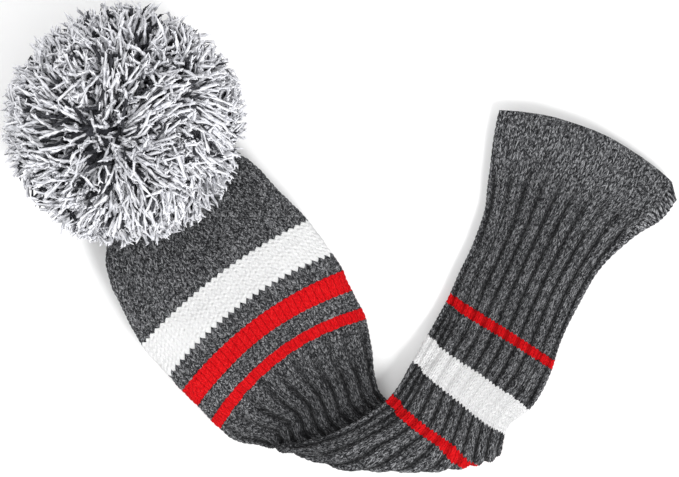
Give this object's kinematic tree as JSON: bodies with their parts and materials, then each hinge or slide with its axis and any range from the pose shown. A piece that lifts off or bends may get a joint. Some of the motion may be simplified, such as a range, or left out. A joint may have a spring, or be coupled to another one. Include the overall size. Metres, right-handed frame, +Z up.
{
  "type": "driver head cover",
  "caption": "Knitted head cover for a golf driver, lying flat with its long ribbed neck folded back over the throat and a large yarn pompom tied to the crown.",
  "frame": {"origin": "on the floor, under the middle of the whole cover as it lies", "axes": "+Z up from the floor; +X along the fold, from the pompom side to the mouth side; +Y from the fold towards the pompom and the mouth"},
  "size_m": [0.3967, 0.281, 0.134],
  "materials": {
    "charcoal_yarn": "charcoal heather knitting yarn, matt and slightly hairy",
    "white_yarn": "white knitting yarn, matt and soft",
    "red_yarn": "bright red knitting yarn, matt and soft",
    "dark_cord": "dark twisted yarn used as a cord",
    "pompom_yarn": "cut strands of white and charcoal yarn, frayed at their tips"
  },
  "bodies": {
    "head": {"crown_panel": "charcoal_yarn", "crown_white_stripe": "white_yarn", "crown_band_upper": "charcoal_yarn", "crown_red_stripe_wide": "red_yarn", "crown_band_lower": "charcoal_yarn", "crown_red_stripe_narrow": "red_yarn", "throat_rib": "charcoal_yarn", "crown_gather_cord": "dark_cord"},
    "fold": {"fold_rib": "charcoal_yarn", "fold_red_stripe": "red_yarn", "fold_band": "charcoal_yarn"},
    "neck": {"neck_rib_lower": "charcoal_yarn", "neck_red_stripe_lower": "red_yarn", "neck_band_lower": "charcoal_yarn", "neck_white_stripe": "white_yarn", "neck_band_upper": "charcoal_yarn", "neck_red_stripe_upper": "red_yarn", "neck_rib_upper": "charcoal_yarn", "hem_outer": "charcoal_yarn", "hem_facing": "charcoal_yarn", "hem_join_thread": "dark_cord"},
    "tie": {"pompom_tie": "dark_cord"},
    "pompom": {"pompom_yarn": "pompom_yarn", "pompom_binding": "dark_cord"}
  },
  "joints": [
    {"name": "neck_unfold_lower", "type": "hinge", "parent": "head", "child": "fold", "pos_m": [0.02884, -0.12405, 0.008], "axis": [1, 0, 0], "range_deg": [0, 91.8]},
    {"name": "neck_unfold_upper", "type": "hinge", "parent": "fold", "child": "neck", "pos_m": [0.02884, -0.12405, 0.025], "axis": [1, 0, 0], "range_deg": [0, 91.8]},
    {"name": "pompom_sway", "type": "hinge", "parent": "head", "child": "tie", "pos_m": [-0.11456, 0.04615, 0.034], "axis": [0, 0, 1], "range_deg": [-20, 20]},
    {"name": "pompom_nod", "type": "hinge", "parent": "tie", "child": "pompom", "pos_m": [-0.11996, 0.05335, 0.034], "axis": [0.8, 0.6, 0], "range_deg": [0, 16]}
  ],
  "couplings": [
    {"joint": "neck_unfold_upper", "follows": "neck_unfold_lower", "ratio": 1}
  ]
}
